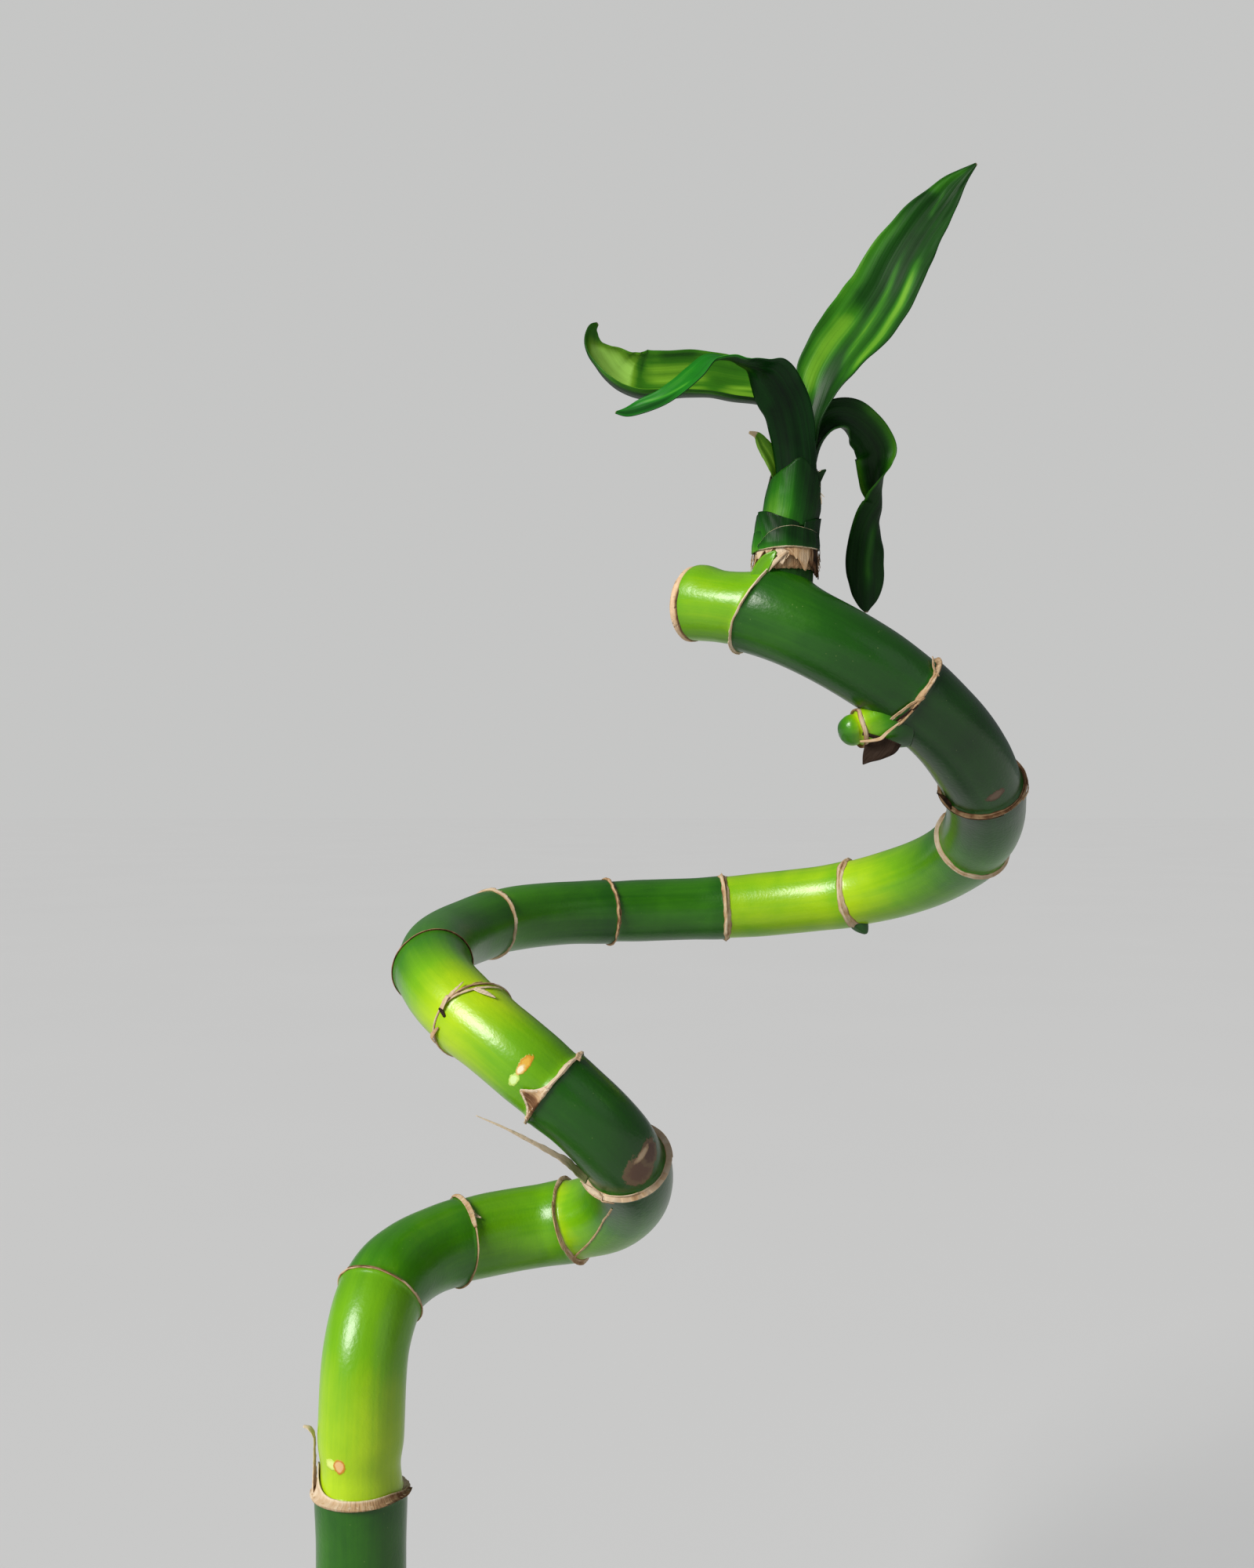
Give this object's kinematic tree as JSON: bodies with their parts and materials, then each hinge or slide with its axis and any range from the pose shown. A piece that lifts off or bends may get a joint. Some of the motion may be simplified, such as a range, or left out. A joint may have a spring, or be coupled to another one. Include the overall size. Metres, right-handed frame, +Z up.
{
  "type": "lucky bamboo in a vase",
  "caption": "Lucky bamboo: a green cane trained into a rising spiral, with a leafy shoot near its cut top, standing upright in a plain round vase filled with pebbles.",
  "frame": {"origin": "centre of the vase's flat underside, on the surface that it stands on", "axes": "+Z up along the cane's upright foot and the vase's axis, seen from the front along +Y, with +X to the right"},
  "size_m": [0.1714, 0.1387, 0.3935],
  "materials": {
    "vase_glaze": "satin",
    "pebbles": "matte",
    "cane": "gloss",
    "shoot": "satin",
    "leaf": "satin",
    "dry_sheath": "matte"
  },
  "bodies": {
    "root": {"vase": "vase_glaze", "pebbles": "pebbles", "cane": "cane", "shoot": "shoot", "shoot_collar": "dry_sheath", "leaf_arched": "leaf", "leaf_long": "leaf", "leaf_tall": "leaf", "leaf_drooping": "leaf", "bract_left": "leaf", "sheath_spike": "dry_sheath", "sheath_strip": "dry_sheath"}
  },
  "joints": []
}
